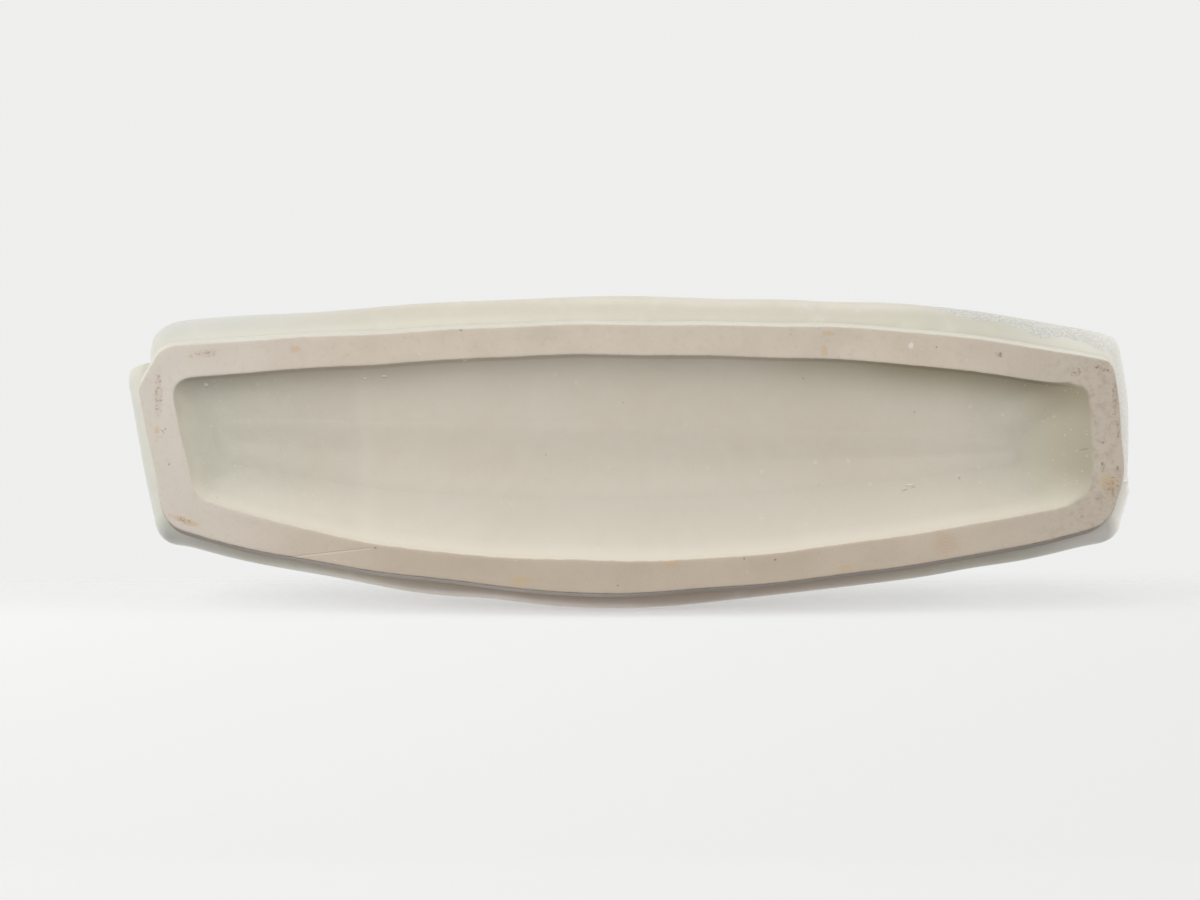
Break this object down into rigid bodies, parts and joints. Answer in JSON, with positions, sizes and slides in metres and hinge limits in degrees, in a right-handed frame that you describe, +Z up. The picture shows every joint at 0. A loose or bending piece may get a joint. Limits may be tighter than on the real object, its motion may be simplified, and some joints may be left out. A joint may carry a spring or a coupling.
{
  "type": "slab vase",
  "caption": "Tall flattened stoneware vase of bent clay slabs lapped at its ends, with a wide open mouth and a low unglazed foot ring round a dished base.",
  "frame": {"origin": "on the table, in the middle of the vase's length and depth", "axes": "+X along the vase's length towards its right end, +Z up, the front wall on -Y"},
  "size_m": [0.266, 0.0846, 0.222],
  "materials": {
    "glaze": "satin, pale ivory with a green-grey cast",
    "bare_clay": "matte, unglazed, pinkish beige"
  },
  "bodies": {
    "root": {"base_slab": "glaze", "front_wall_slab": "glaze", "back_wall_slab": "glaze", "foot_strip_front": "bare_clay", "foot_strip_right": "bare_clay", "foot_strip_back": "bare_clay", "foot_strip_left": "bare_clay", "base_coil_front": "glaze", "base_coil_back": "glaze", "seam_coil_left": "glaze", "seam_coil_right": "glaze"}
  },
  "joints": []
}
